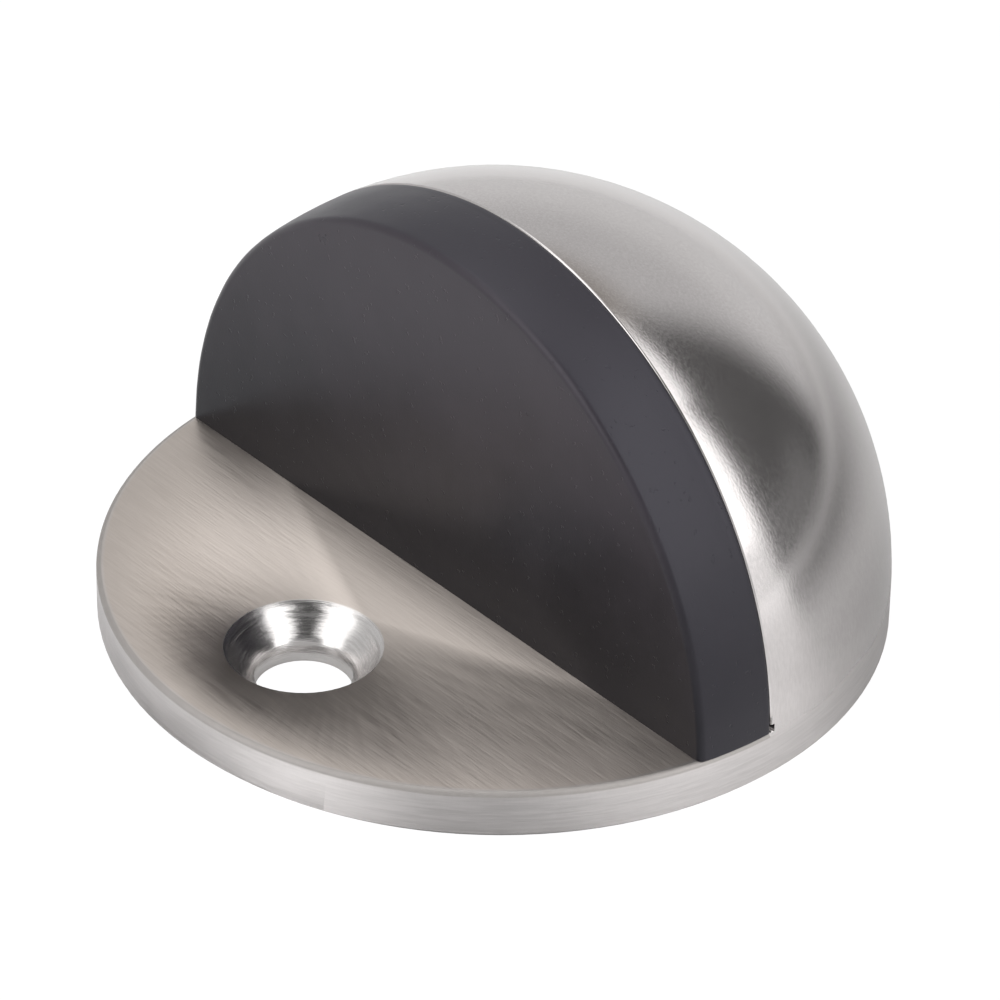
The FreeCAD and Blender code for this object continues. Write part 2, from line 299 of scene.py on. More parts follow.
@dataclass(frozen=True)
class Zone:
    """One surface of the casting: its colours, how rough it is and how deep its tool marks are."""

    metal: tuple[float, float, float]
    shadow_metal: tuple[float, float, float]
    rough: float
    rough_spread: float
    depth: float
    stain: float = 0.35

    def dress(self, bench: NodeBench, mark: Socket, cloud: Socket) -> tuple[Socket, Socket, Socket]:
        """Works out the surface's finish.

        Args:
            bench: the material's bench.
            mark: the height of the tool marks, from 0 to 1.
            cloud: the broad stain over the whole casting, from 0 to 1.

        Returns:
            Its colour, its roughness and its height in micrometres.
        """
        shade = bench.blend(self.stain, mark, cloud)
        spread = bench.maths("MULTIPLY", bench.maths("SUBTRACT", shade, 0.5), self.rough_spread)
        return (
            bench.tint(shade, self.shadow_metal, self.metal),
            bench.maths("ADD", spread, self.rough),
            bench.maths("MULTIPLY", mark, self.depth),
        )


@dataclass(frozen=True)
class SatinCasting:
    """Satin metal: a straight brushed plate, a turned rim, a fine blasted dome and a bright countersink.

    Each fade says how far below or inside its edge a finish begins and where it is full.
    """

    plate_top: float = 3.0
    seat: float = 0.5
    base_radius: float = 22.5
    hole_y: float = -13.9
    mouth_radius: float = 4.46
    seat_soft: float = 0.02
    plate_fade: tuple[float, float] = (0.14, 0.05)
    rim_fade: tuple[float, float] = (0.5, 0.35)
    rim_above: float = 1.2
    rim_below: float = 1.4
    edge_fade_in: tuple[float, float] = (0.34, 0.24)
    edge_fade_up: tuple[float, float] = (0.34, 0.22)
    mouth_soft: float = 0.05
    bore_foot: tuple[float, float] = (0.02, 0.12)
    contrast: tuple[float, float] = (0.30, 0.70)
    dome_contrast: tuple[float, float] = (0.25, 0.75)
    dome: Zone = Zone((0.69, 0.66, 0.655), (0.59, 0.562, 0.556), 0.155, 0.06, 1.3)
    plate: Zone = Zone((0.62, 0.563, 0.52), (0.535, 0.48, 0.44), 0.42, 0.12, 6.0)
    rim: Zone = Zone((0.65, 0.625, 0.62), (0.52, 0.50, 0.495), 0.40, 0.14, 9.0)
    # The edge zone is darker as well as rougher: painted shade
    # that dulls the highlight on the plate's rounded top edge.
    edge: Zone = Zone((0.50, 0.475, 0.46), (0.40, 0.375, 0.36), 0.58, 0.10, 8.0)
    bore: Zone = Zone((0.74, 0.72, 0.71), (0.62, 0.60, 0.59), 0.23, 0.10, 7.0)

    def patterns(self, bench: NodeBench) -> dict[str, Socket]:
        """The tool marks of each zone, as heights from 0 to 1.

        Args:
            bench: the material's bench.

        Returns:
            The height of each zone by name.
        """
        x, y, z = (bench.along(axis) for axis in "XYZ")
        hole = bench.length(x, bench.maths("SUBTRACT", y, self.hole_y))
        arc = bench.maths("MULTIPLY", bench.maths("ARCTAN2", y, x), self.base_radius)
        fine = bench.noise(bench.stretched((0.45, 6.0, 1.0)), 1.0, 3.0, 0.6)
        broad = bench.noise(bench.stretched((0.20, 2.2, 1.0), 7.0), 1.0, 2.0, 0.5)
        ring = bench.point(bench.maths("MULTIPLY", arc, 0.30), bench.maths("MULTIPLY", z, 5.0), 0.0)
        round_hole = bench.maths("ARCTAN2", bench.maths("SUBTRACT", y, self.hole_y), x)
        turned = bench.point(
            bench.maths("MULTIPLY", hole, 5.0),
            bench.maths("MULTIPLY", z, 5.0),
            bench.maths("MULTIPLY", round_hole, 1.6),
        )
        blasted = bench.noise(bench.stretched((7.0, 7.0, 1.4)), 1.0, 3.0, 0.6)
        return {
            "plate": bench.step(bench.blend(0.40, fine, broad), *self.contrast),
            "rim": bench.step(bench.noise(ring, 1.0, 3.0, 0.6), *self.contrast),
            "edge": bench.noise(bench.stretched((2.0, 2.0, 5.0), 3.0), 1.0, 3.0, 0.6),
            "bore": bench.step(bench.noise(turned, 1.0, 3.0, 0.6), *self.contrast),
            "dome": bench.step(blasted, *self.dome_contrast),
        }

    def masks(self, bench: NodeBench) -> dict[str, Socket]:
        """Where each zone lies, from the casting's own measures.

        Args:
            bench: the material's bench.

        Returns:
            A mask from 0 to 1 for each zone but the dome, in the order they are laid on.
        """
        x, y, z = (bench.along(axis) for axis in "XYZ")
        across = bench.length(x, y)
        hole = bench.length(x, bench.maths("SUBTRACT", y, self.hole_y))
        before_seat = bench.step(y, self.seat + self.seat_soft, self.seat - self.seat_soft)
        on_plate = self.inside(bench, z, self.plate_top, self.plate_fade)
        at_rim = self.inside(bench, across, self.base_radius, self.rim_fade)
        rim_height = bench.step(z, self.plate_top + self.rim_above, self.plate_top - self.rim_below)
        in_mouth = bench.step(hole, self.mouth_radius + self.mouth_soft, self.mouth_radius - self.mouth_soft)
        # Where the edge zone's painted shade lies: the plate's rounded top edge, in front of the seat.
        at_edge = self.inside(bench, across, self.base_radius, self.edge_fade_in)
        edge_height = self.inside(bench, z, self.plate_top, self.edge_fade_up)
        return {
            "plate": bench.maths("MULTIPLY", on_plate, before_seat),
            "rim": bench.maths("MULTIPLY", at_rim, rim_height),
            "edge": bench.maths("MULTIPLY", at_edge, bench.maths("MULTIPLY", edge_height, before_seat)),
            "bore": bench.maths("MULTIPLY", in_mouth, bench.step(z, *self.bore_foot)),
        }

    @staticmethod
    def inside(bench: NodeBench, source: Socket, limit: float, fade: tuple[float, float]) -> Socket:
        """Where a measure comes close to its limit.

        Args:
            bench: the material's bench.
            source: the measure, in millimetres.
            limit: the measure's limit.
            fade: how far short of the limit the mask begins, and where it is full.

        Returns:
            The mask, from 0 to 1.
        """
        return bench.step(source, limit - fade[0], limit - fade[1])

    def material(self) -> bpy.types.Material:
        """Makes the finish.

        Returns:
            The material.
        """
        bench = NodeBench("satin_casting")
        patterns, masks = self.patterns(bench), self.masks(bench)
        cloud = bench.noise(bench.place, 0.45, 3.0, 0.55)
        colour, rough, height = self.dome.dress(bench, patterns["dome"], cloud)
        for name, mask in masks.items():
            zone: Zone = getattr(self, name)
            zone_colour, zone_rough, zone_height = zone.dress(bench, patterns[name], cloud)
            colour = bench.tint(mask, colour, zone_colour)
            rough = bench.blend(mask, rough, zone_rough)
            height = bench.blend(mask, height, zone_height)
        return bench.shade(Base_Color=colour, Metallic=1.0, Roughness=rough, Normal=bench.bump(height, 1.0))


@dataclass(frozen=True)
class BufferRubber:
    """Moulded black rubber, matt, with a fine skin, a few pits and painted light towards the top."""

    # Low and high colours of the painted light that lightens the rubber towards the top.
    face_low: tuple[float, float, float] = (0.0042, 0.0040, 0.0062)
    face_high: tuple[float, float, float] = (0.044, 0.038, 0.046)
    band_low: tuple[float, float, float] = (0.014, 0.0128, 0.0170)
    band_high: tuple[float, float, float] = (0.034, 0.032, 0.040)
    rough: float = 0.31
    rough_spread: float = 0.20
    band_rough: float = 0.06
    gloss: float = 0.36
    skin_tint: tuple[float, float, float, float] = (0.93, 0.91, 1.0, 1.0)
    skin_depth: float = 5.0
    pit_depth: float = 14.0
    bloom_and_light_drift: float = 9.0
    bloom_and_light_rise: tuple[float, float] = (4.0, 23.0)
    front: float = -4.3

    def material(self) -> bpy.types.Material:
        """Makes the finish.

        Returns:
            The material.
        """
        bench = NodeBench("moulded_rubber")
        cloud = bench.noise(bench.place, 0.22, 4.0, 0.6)
        skin = bench.noise(bench.place, 7.0, 3.0, 0.6)
        band = bench.step(bench.along("Y"), self.front + 0.1, self.front + 0.45)
        pits = bench.step(bench.noise(bench.place, 2.4, 2.0, 0.5), 0.33, 0.27)
        drift = bench.maths("SUBTRACT", cloud, 0.5)
        rough = bench.maths("ADD", self.rough, bench.maths("MULTIPLY", drift, self.rough_spread))
        rough = bench.maths("ADD", rough, bench.maths("MULTIPLY", band, self.band_rough))
        grain = bench.maths("MULTIPLY", skin, self.skin_depth)
        height = bench.maths("SUBTRACT", grain, bench.maths("MULTIPLY", pits, self.pit_depth))
        # Painted light: face and band lighten towards the top, in uneven patches like bloom.
        # The band's lighter colours are painted sheen.
        rise = bench.maths("ADD", bench.along("Z"), bench.maths("MULTIPLY", drift, self.bloom_and_light_drift))
        bloom_and_painted_light = bench.step(rise, *self.bloom_and_light_rise)
        face = bench.tint(bloom_and_painted_light, self.face_low, self.face_high)
        colour = bench.tint(band, face, bench.tint(bloom_and_painted_light, self.band_low, self.band_high))
        return bench.shade(
            Base_Color=colour,
            Metallic=0.0,
            Roughness=rough,
            Specular_IOR_Level=self.gloss,
            Specular_Tint=self.skin_tint,
            Normal=bench.bump(height, 1.0),
        )


@dataclass(frozen=True)
class PlainSteel:
    """Steel of the bar and the screws."""

    name: str
    metal: tuple[float, float, float] = (0.56, 0.56, 0.57)
    rough: float = 0.3
    rough_spread: float = 0.12
    shadow: float = 0.8
    depth: float = 2.0

    def material(self) -> bpy.types.Material:
        """Makes the finish.

        Returns:
            The material.
        """
        bench = NodeBench(self.name)
        cloud = bench.noise(bench.place, 1.2, 3.0, 0.6)
        fine = bench.noise(bench.place, 12.0, 2.0, 0.5)
        rough = bench.maths("ADD", self.rough, bench.maths("MULTIPLY", cloud, self.rough_spread))
        colour = bench.tint(cloud, tuple(self.shadow * part for part in self.metal), self.metal)
        normal = bench.bump(fine, self.depth)
        return bench.shade(Base_Color=colour, Metallic=1.0, Roughness=rough, Normal=normal)


@dataclass
class CastBody:
    """The one-piece metal body: plate, half dome, pocket and fixing hole."""

    node: str = "dome_body"
    radius: float = 22.5
    centre_height: float = 2.5
    seat: float = 0.5
    skin: float = 0.02
    crease: float = 30.0
    foot_top: float = 0.5
    seam_top: float = 4.2
    stray: float = 0.25
    unfold_rounds: int = 8
    weld: float = 0.001
    facing: float = 0.9
    seat_reach: float = 0.2
    true_enough: float = 0.8
    finish: SatinCasting = field(default_factory=SatinCasting)

    def outward(self, place: Vector) -> Vector:
        """Which way the ball and the straight rim below it face.

        Args:
            place: a point, in millimetres.

        Returns:
            The outward direction, or no direction where the point is off the outer skin.
        """
        lift = max(0.0, place.z - self.centre_height)
        out = Vector((place.x, place.y, lift))
        return out.normalized() if abs(out.length - self.radius) < self.skin else Vector()

    def on_skin(self, places: list[Vector], normal: Vector) -> bool:
        """Tells whether a face belongs to the ball or to the straight rim.

        Args:
            places: the face's corners, in millimetres.
            normal: the face's own normal.

        Returns:
            True for a face of the outer skin.
        """
        near_seat = all(place.y < self.seat + self.seat_reach for place in places)
        on_seat = near_seat and abs(normal.y) > self.facing
        return not on_seat and all(self.outward(place).length > 0.0 for place in places)

    def unfold(self, mesh: bmesh.types.BMesh) -> None:
        """Closes up the folded slivers where the ball runs into the rim.

        Args:
            mesh: the casting, in millimetres.
        """
        for _ in range(self.unfold_rounds):
            mesh.normal_update()
            folded = []
            for face in mesh.faces:
                places = [vertex.co for vertex in face.verts]
                at_seam = all(place.z < self.seam_top and place.y > 2 * self.seat for place in places)
                if at_seam and self.on_skin(places, face.normal):
                    if face.normal.dot(self.outward(places[0])) < self.true_enough:
                        folded.append(face)
            LOG.info("folded slivers on the skin: %d", len(folded))
            if not folded:
                break
            loose = list({vertex for face in folded for vertex in face.verts})
            bmesh.ops.dissolve_verts(mesh, verts=loose)
            bmesh.ops.triangulate(mesh, faces=[face for face in mesh.faces if len(face.verts) > 3])
            bmesh.ops.dissolve_degenerate(mesh, edges=mesh.edges, dist=self.weld)
            self.drop_twins(mesh)

    def true_up(self, mesh: bmesh.types.BMesh) -> None:
        """Puts the seam's corners back on the outer skin.

        Args:
            mesh: the casting, in millimetres.
        """
        for vertex in mesh.verts:
            if 2 * self.seat < vertex.co.y and self.foot_top < vertex.co.z < self.seam_top:
                self.push_out(vertex)

    def push_out(self, vertex: bmesh.types.BMVert) -> None:
        """Puts a corner that lies just off the outer skin back on it.

        Args:
            vertex: the corner, in millimetres.
        """
        lift = max(0.0, vertex.co.z - self.centre_height)
        out = Vector((vertex.co.x, vertex.co.y, lift))
        if abs(out.length - self.radius) < self.stray:
            vertex.co += out * (self.radius / out.length - 1.0)

    def drop_twins(self, mesh: bmesh.types.BMesh) -> None:
        """Takes out pairs of faces that lie back to back and closes what is left open.

        Args:
            mesh: the casting, in millimetres.
        """
        groups: dict[frozenset, list[bmesh.types.BMFace]] = {}
        for face in mesh.faces:
            groups.setdefault(frozenset(face.verts), []).append(face)
        twins = [face for group in groups.values() if len(group) > 1 for face in group]
        bmesh.ops.delete(mesh, geom=twins, context="FACES")
        bmesh.ops.holes_fill(mesh, edges=[edge for edge in mesh.edges if edge.is_boundary])
        bmesh.ops.delete(mesh, geom=[edge for edge in mesh.edges if edge.is_wire], context="EDGES")

    def smooth_skin(self, data: bpy.types.Mesh) -> None:
        """Makes the ball and the rim shade as the true round shapes they are.

        Args:
            data: the casting's mesh, in metres.
        """
        normals = [Vector()] * len(data.loops)
        for face in data.polygons:
            places = [data.vertices[corner].co / MM for corner in face.vertices]
            if self.on_skin(places, face.normal):
                for loop, place in zip(face.loop_indices, places):
                    normals[loop] = self.outward(place)
        data.normals_split_custom_set(normals)

    def build(self) -> bpy.types.Object:
        """Takes over the designed shape, joined up, with clean shading.

        Returns:
            The finished piece.
        """
        mesh = bmesh.new()
        mesh.from_mesh(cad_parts[self.node].data)
        bmesh.ops.remove_doubles(mesh, verts=mesh.verts, dist=self.weld * MM)
        bmesh.ops.scale(mesh, vec=(1 / MM, 1 / MM, 1 / MM), verts=mesh.verts)
        self.unfold(mesh)
        self.true_up(mesh)
        bmesh.ops.recalc_face_normals(mesh, faces=mesh.faces)
        piece = finish_piece(mesh, "cast_body", self.finish.material(), self.crease)
        self.smooth_skin(piece.data)
        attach(piece, "root")
        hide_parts(self.node)
        return piece


@dataclass
class RubberBuffer:
    """The moulded buffer: a slice of the ball in front of the dome, with a half-disc tongue behind it."""

    radius: float = 22.49
    centre_height: float = 2.5
    foot: float = 3.0
    front: float = -4.3
    seat: float = 0.5
    front_round: float = 0.5
    back_round: float = 0.15
    tongue_radius: float = 17.9
    tongue_length: float = 8.7
    lead_in: float = 0.6
    face_rings: int = 26
    round_steps: tuple[int, int, int] = (8, 18, 4)
    turns: int = 216
    tongue_turns: int = 128
    ripple: float = 0.035
    broad_ripple: float = 0.35
    fine_ripple: float = 1.3
    still_behind: float = 0.2
    still_below: float = 0.8
    crease: float = 40.0
    finish: BufferRubber = field(default_factory=BufferRubber)

    def edge(self, plane: float, size: float, inward: float) -> Vector:
        """Finds the middle of the round between a flat face and the ball.

        Args:
            plane: the flat face's place along Y.
            size: the round's radius.
            inward: +1 where the rubber lies towards +Y of the face, -1 where it lies towards -Y.

        Returns:
            The round's middle, straight above the ball's own.
        """
        along = plane + inward * size
        return Vector((0.0, along, math.sqrt((self.radius - size) ** 2 - along**2)))

    def section(self, mesh: bmesh.types.BMesh) -> None:
        """Draws the half section: front face, front round, ball, back round.

        Args:
            mesh: the empty mesh to draw in.
        """
        front_centre = self.edge(self.front, self.front_round, 1.0)
        back_centre = self.edge(self.seat, self.back_round, -1.0)
        middle = mesh.verts.new((0.0, self.front, 0.0))
        rise = bmesh.ops.extrude_vert_indiv(mesh, verts=[middle])
        tip = rise["verts"][0]
        bmesh.ops.translate(mesh, verts=[tip], vec=(0.0, 0.0, front_centre.z))
        lean = math.atan2(-front_centre.y, front_centre.z)
        reach = math.atan2(back_centre.y, back_centre.z)
        quarter = math.pi / 2
        backwards = (-1.0, 0.0, 0.0)
        bends = ((front_centre, quarter - lean), (Vector(), lean + reach), (back_centre, quarter - reach))
        for (centre, turn), steps in zip(bends, self.round_steps):
            swept = bmesh.ops.spin(mesh, geom=[tip], cent=centre, axis=backwards, angle=turn, steps=steps)
            tip = next(part for part in swept["geom_last"] if isinstance(part, bmesh.types.BMVert))
        bmesh.ops.subdivide_edges(mesh, edges=rise["edges"], cuts=self.face_rings)

    def slice(self, mesh: bmesh.types.BMesh) -> None:
        """Turns the section about the ball's axis along Y and trims it to the plate.

        Args:
            mesh: the mesh that holds the section.
        """
        turn_round(mesh, (0.0, 1.0, 0.0), self.turns)
        bmesh.ops.translate(mesh, verts=mesh.verts, vec=(0.0, 0.0, self.centre_height))
        everything = mesh.verts[:] + mesh.edges[:] + mesh.faces[:]
        bmesh.ops.bisect_plane(
            mesh,
            geom=everything,
            dist=0.1 * TOUCH,
            plane_co=(0.0, 0.0, self.foot),
            plane_no=(0.0, 0.0, 1.0),
            clear_inner=True,
        )

    def tongue(self, mesh: bmesh.types.BMesh) -> None:
        """Adds the tongue behind the seat and closes the underside.

        Args:
            mesh: the mesh that holds the slice.
        """
        open_edges = [edge for edge in mesh.edges if edge.is_boundary]
        rim = [edge for edge in open_edges if all(v.co.y > self.seat - TOUCH for v in edge.verts)]
        circle = bmesh.ops.create_circle(mesh, radius=self.tongue_radius, segments=self.tongue_turns)
        ring = circle["verts"]
        place = Matrix.Translation((0.0, self.seat, self.foot)) @ Matrix.Rotation(math.pi / 2, 4, "X")
        bmesh.ops.transform(mesh, matrix=place, verts=ring)
        bmesh.ops.delete(mesh, geom=[v for v in ring if v.co.z < self.foot - TOUCH], context="VERTS")
        arch = [edge for edge in mesh.edges if not edge.link_faces and edge.is_valid]
        bmesh.ops.bridge_loops(mesh, edges=rim + arch)
        taper = (self.tongue_radius - self.lead_in) / self.tongue_radius
        for push, scale in ((self.tongue_length - self.lead_in, 1.0), (self.lead_in, taper)):
            swept = bmesh.ops.extrude_edge_only(mesh, edges=arch)["geom"]
            moved = [part for part in swept if isinstance(part, bmesh.types.BMVert)]
            arch = [part for part in swept if isinstance(part, bmesh.types.BMEdge)]
            centre = Matrix.Translation((0.0, 0.0, -self.foot))
            bmesh.ops.translate(mesh, verts=moved, vec=(0.0, push, 0.0))
            bmesh.ops.scale(mesh, verts=moved, vec=(scale, 1.0, scale), space=centre)
        feet = [v for edge in arch for v in edge.verts if abs(v.co.z - self.foot) < TOUCH]
        sill = bmesh.ops.contextual_create(mesh, geom=feet)["edges"]
        bmesh.ops.edgeloop_fill(mesh, edges=arch + sill)
        bmesh.ops.holes_fill(mesh, edges=[edge for edge in mesh.edges if edge.is_boundary])

    def settle(self, mesh: bmesh.types.BMesh) -> None:
        """Gives the visible skin the faint hollows of a moulding that has shrunk.

        Args:
            mesh: the finished shape, in millimetres.
        """
        for vertex in mesh.verts:
            if vertex.co.y > self.seat - self.still_behind:
                continue
            lift = min(1.0, (vertex.co.z - self.foot) / self.still_below)
            broad = noise.noise(vertex.co * self.broad_ripple)
            fine = noise.noise(vertex.co * self.fine_ripple)
            wave = 0.5 + 0.5 * broad + 0.25 * fine
            vertex.co -= vertex.normal * self.ripple * max(0.0, wave) * lift

    def build(self) -> bpy.types.Object:
        """Models the buffer.

        Returns:
            The finished piece.
        """
        mesh = bmesh.new()
        self.section(mesh)
        self.slice(mesh)
        self.tongue(mesh)
        bmesh.ops.recalc_face_normals(mesh, faces=mesh.faces)
        mesh.normal_update()
        self.settle(mesh)
        piece = finish_piece(mesh, "rubber_slice", self.finish.material(), self.crease)
        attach(piece, "root")
        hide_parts("rubber_buffer")
        return piece


@dataclass
class CrossHeadScrew:
    """A countersunk cross-head machine screw, driven up through the plate into the buffer's bar."""

    side: Side
    out: float = 7.97
    back: float = 5.0
    sunk: float = 0.1
    length: float = 8.0
    head: float = 2.75
    land: float = 0.3
    shank: float = 1.49
    core: float = 1.2
    pitch: float = 0.5
    plain: float = 0.9
    tip: float = 0.4
    slot_reach: float = 1.45
    slot_half: float = 0.3
    slot_depth: float = 1.2
    slot_taper: float = 0.8
    turns: int = 48
    thread_turns: int = 24
    thread_start: float = 0.35
    thread_end: float = 0.3
    ridge: float = 0.42
    crease: float = 30.0
    finish: PlainSteel = field(default_factory=lambda: PlainSteel("zinc_steel", (0.60, 0.61, 0.63), 0.24))

    def blank(self, mesh: bmesh.types.BMesh) -> list[bmesh.types.BMEdge]:
        """Turns the head, the plain neck and the core of the thread.

        Args:
            mesh: the empty mesh to turn in.

        Returns:
            The edges round the open head face.
        """
        neck = self.land + self.head - self.shank
        outline = (
            (self.head, self.land),
            (self.shank, neck),
            (self.shank, neck + self.plain),
            (self.core, neck + self.plain + self.shank - self.core),
            (self.core, self.length - self.tip),
            (self.core - self.tip, self.length),
            (0.0, self.length),
        )
        tip = mesh.verts.new((self.head, 0.0, 0.0))
        for across, height in outline:
            step = bmesh.ops.extrude_vert_indiv(mesh, verts=[tip])
            tip = step["verts"][0]
            tip.co = Vector((across, 0.0, height))
        turn_round(mesh, (0.0, 0.0, 1.0), self.turns)
        return [edge for edge in mesh.edges if edge.is_boundary]

    def recess(self, mesh: bmesh.types.BMesh, rim: list[bmesh.types.BMEdge]) -> None:
        """Sinks the cross in the head face and fills the face round it.

        Args:
            mesh: the turned blank.
            rim: the edges round the open head face.
        """
        grid = bmesh.ops.create_grid(mesh, x_segments=3, y_segments=3, size=self.slot_reach)["verts"]
        for vertex in grid:
            for axis in (0, 1):
                if abs(vertex.co[axis]) < self.slot_reach - TOUCH:
                    vertex.co[axis] = math.copysign(self.slot_half, vertex.co[axis])
        cells = {face for vertex in grid for face in vertex.link_faces}
        middles = {face: face.calc_center_median() for face in cells}
        corners = [face for face in cells if min(abs(part) for part in middles[face][:2]) > self.slot_half]
        bmesh.ops.delete(mesh, geom=corners, context="FACES")
        cross = [face for face in cells if face.is_valid]
        mouth = list({edge for face in cross for edge in face.edges if edge.is_boundary})
        bmesh.ops.triangle_fill(mesh, edges=rim + mouth, use_beauty=True)
        sunk = bmesh.ops.extrude_face_region(mesh, geom=cross)["geom"]
        floor = [part for part in sunk if isinstance(part, bmesh.types.BMVert)]
        bmesh.ops.delete(mesh, geom=cross, context="FACES_ONLY")
        bmesh.ops.delete(mesh, geom=[edge for edge in mesh.edges if edge.is_wire], context="EDGES")
        bmesh.ops.translate(mesh, verts=floor, vec=(0.0, 0.0, self.slot_depth))
        bmesh.ops.scale(mesh, verts=floor, vec=(self.slot_taper, self.slot_taper, 1.0))

    def thread(self, mesh: bmesh.types.BMesh) -> None:
        """Winds the thread's ridge round the core as a closed strip.

        Args:
            mesh: the screw so far.
        """
        start = self.land + self.head - self.shank + self.plain + self.thread_start
        rounds = (self.length - self.tip - self.thread_end - start) / self.pitch
        half = self.pitch * self.ridge
        ridge = bmesh.ops.create_circle(mesh, radius=half, segments=3, cap_ends=True)["verts"]
        flat = Matrix.Rotation(math.pi / 2, 4, "X") @ Matrix.Rotation(-math.pi / 2, 4, "Z")
        bmesh.ops.transform(mesh, matrix=flat, verts=ridge)
        reach = max(vertex.co.x for vertex in ridge)
        bmesh.ops.translate(mesh, verts=ridge, vec=(self.shank - reach, 0.0, start))
        cap = list({face for vertex in ridge for face in vertex.link_faces})
        around = list({edge for vertex in ridge for edge in vertex.link_edges})
        steps = int(rounds * self.thread_turns)
        bmesh.ops.spin(
            mesh,
            geom=cap + around + list(ridge),
            cent=(0.0, 0.0, 0.0),
            axis=(0.0, 0.0, 1.0),
            angle=2 * math.pi * rounds,
            steps=steps,
            dvec=(0.0, 0.0, self.pitch * rounds / steps),
        )
        bmesh.ops.holes_fill(mesh, edges=[edge for edge in mesh.edges if edge.is_boundary])

    def build(self) -> bpy.types.Object:
        """Models the screw in its place.

        Returns:
            The finished piece.
        """
        mesh = bmesh.new()
        self.recess(mesh, self.blank(mesh))
        self.thread(mesh)
        bmesh.ops.recalc_face_normals(mesh, faces=mesh.faces)
        across = -self.out if self.side is Side.LEFT else self.out
        bmesh.ops.translate(mesh, verts=mesh.verts, vec=(across, self.back, self.sunk))
        piece = finish_piece(mesh, f"cross_head_screw_{self.side}", self.finish.material(), self.crease)
        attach(piece, "root")
        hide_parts(f"buffer_screw_{self.side}")
        return piece


def turn_round(mesh: bmesh.types.BMesh, axis: tuple[float, float, float], steps: int) -> None:
    """Turns a drawn section all the way round an axis through the origin.

    Args:
        mesh: holds the section and nothing else.
        axis: the axis's direction.
        steps: how many steps make the full turn.
    """
    section = mesh.verts[:] + mesh.edges[:]
    whole = 2 * math.pi
    bmesh.ops.spin(mesh, geom=section, cent=Vector(), axis=axis, angle=whole, steps=steps, use_merge=True)
    bmesh.ops.remove_doubles(mesh, verts=mesh.verts, dist=TOUCH)


def finish_piece(
    mesh: bmesh.types.BMesh, name: str, material: bpy.types.Material, crease: float
) -> bpy.types.Object:
    """Turns a mesh in millimetres into a smooth-shaded piece in metres.

    Args:
        mesh: the shape, which is freed.
        name: the piece's name.
        material: its finish.
        crease: edges sharper than this many degrees stay sharp.

    Returns:
        The piece.
    """
    bmesh.ops.scale(mesh, vec=(MM, MM, MM), verts=mesh.verts)
    bmesh.ops.triangulate(mesh, faces=[face for face in mesh.faces if len(face.verts) > 4])
    for face in mesh.faces:
        face.smooth = True
    data = bpy.data.meshes.new(name)
    mesh.to_mesh(data)
    mesh.free()
    data.set_sharp_from_angle(angle=math.radians(crease))
    data.materials.append(material)
    piece = bpy.data.objects.new(name, data)
    bpy.context.scene.collection.objects.link(piece)
    return piece


@dataclass(frozen=True)
class Panel:
    """A soft-edged rectangle on the inside of the light tent, bright or dark.

    Angles are in degrees. Azimuth runs from -Y towards +X.
    """

    azimuth: float
    elevation: float
    half_width: float
    half_height: float
    soft: float
    glow: float
    roll: float = 0.0
    warmth: float = 0.0

    def share(self, place: Vector) -> float:
        """How far a point of the tent lies inside the panel.

        Args:
            place: the point, as seen from the holder.

        Returns:
            1 inside the panel and 0 outside it.
        """
        azimuth, elevation, roll = (math.radians(turn) for turn in (self.azimuth, self.elevation, self.roll))
        level = Vector((math.sin(azimuth), -math.cos(azimuth), 0.0))
        out = level * math.cos(elevation) + Vector((0.0, 0.0, math.sin(elevation)))
        side = Vector((math.cos(azimuth), math.sin(azimuth), 0.0))
        up = out.cross(side)
        side, up = side * math.cos(roll) + up * math.sin(roll), up * math.cos(roll) - side * math.sin(roll)
        ahead = place.dot(out)
        if ahead <= 0.0:
            return 0.0
        inside = 1.0
        for axis, half in ((side, self.half_width), (up, self.half_height)):
            off = math.degrees(abs(math.atan2(place.dot(axis), ahead)))
            edge = min(1.0, max(0.0, (half + self.soft - off) / (2 * self.soft)))
            inside *= edge * edge * (3.0 - 2.0 * edge)
        return inside


@dataclass(frozen=True)
class Pool:
    """A soft round painted shadow or painted pool of light on the table.

    Azimuth runs in degrees from -Y towards +X. The middle's distance out and the reach are in
    millimetres. The tone is the colour of a painted shadow or the glow of a painted pool of light.
    """

    azimuth: float
    out: float
    reach: float
    tone: float

    def share(self, bench: NodeBench) -> Socket:
        """How far a point of the table lies inside the patch.

        Args:
            bench: the table's bench.

        Returns:
            1 in its middle and 0 outside it.
        """
        turn = math.radians(self.azimuth)
        x = bench.maths("SUBTRACT", bench.along("X"), self.out * math.sin(turn))
        y = bench.maths("ADD", bench.along("Y"), self.out * math.cos(turn))
        return bench.step(bench.length(x, y), self.reach, 0.0)


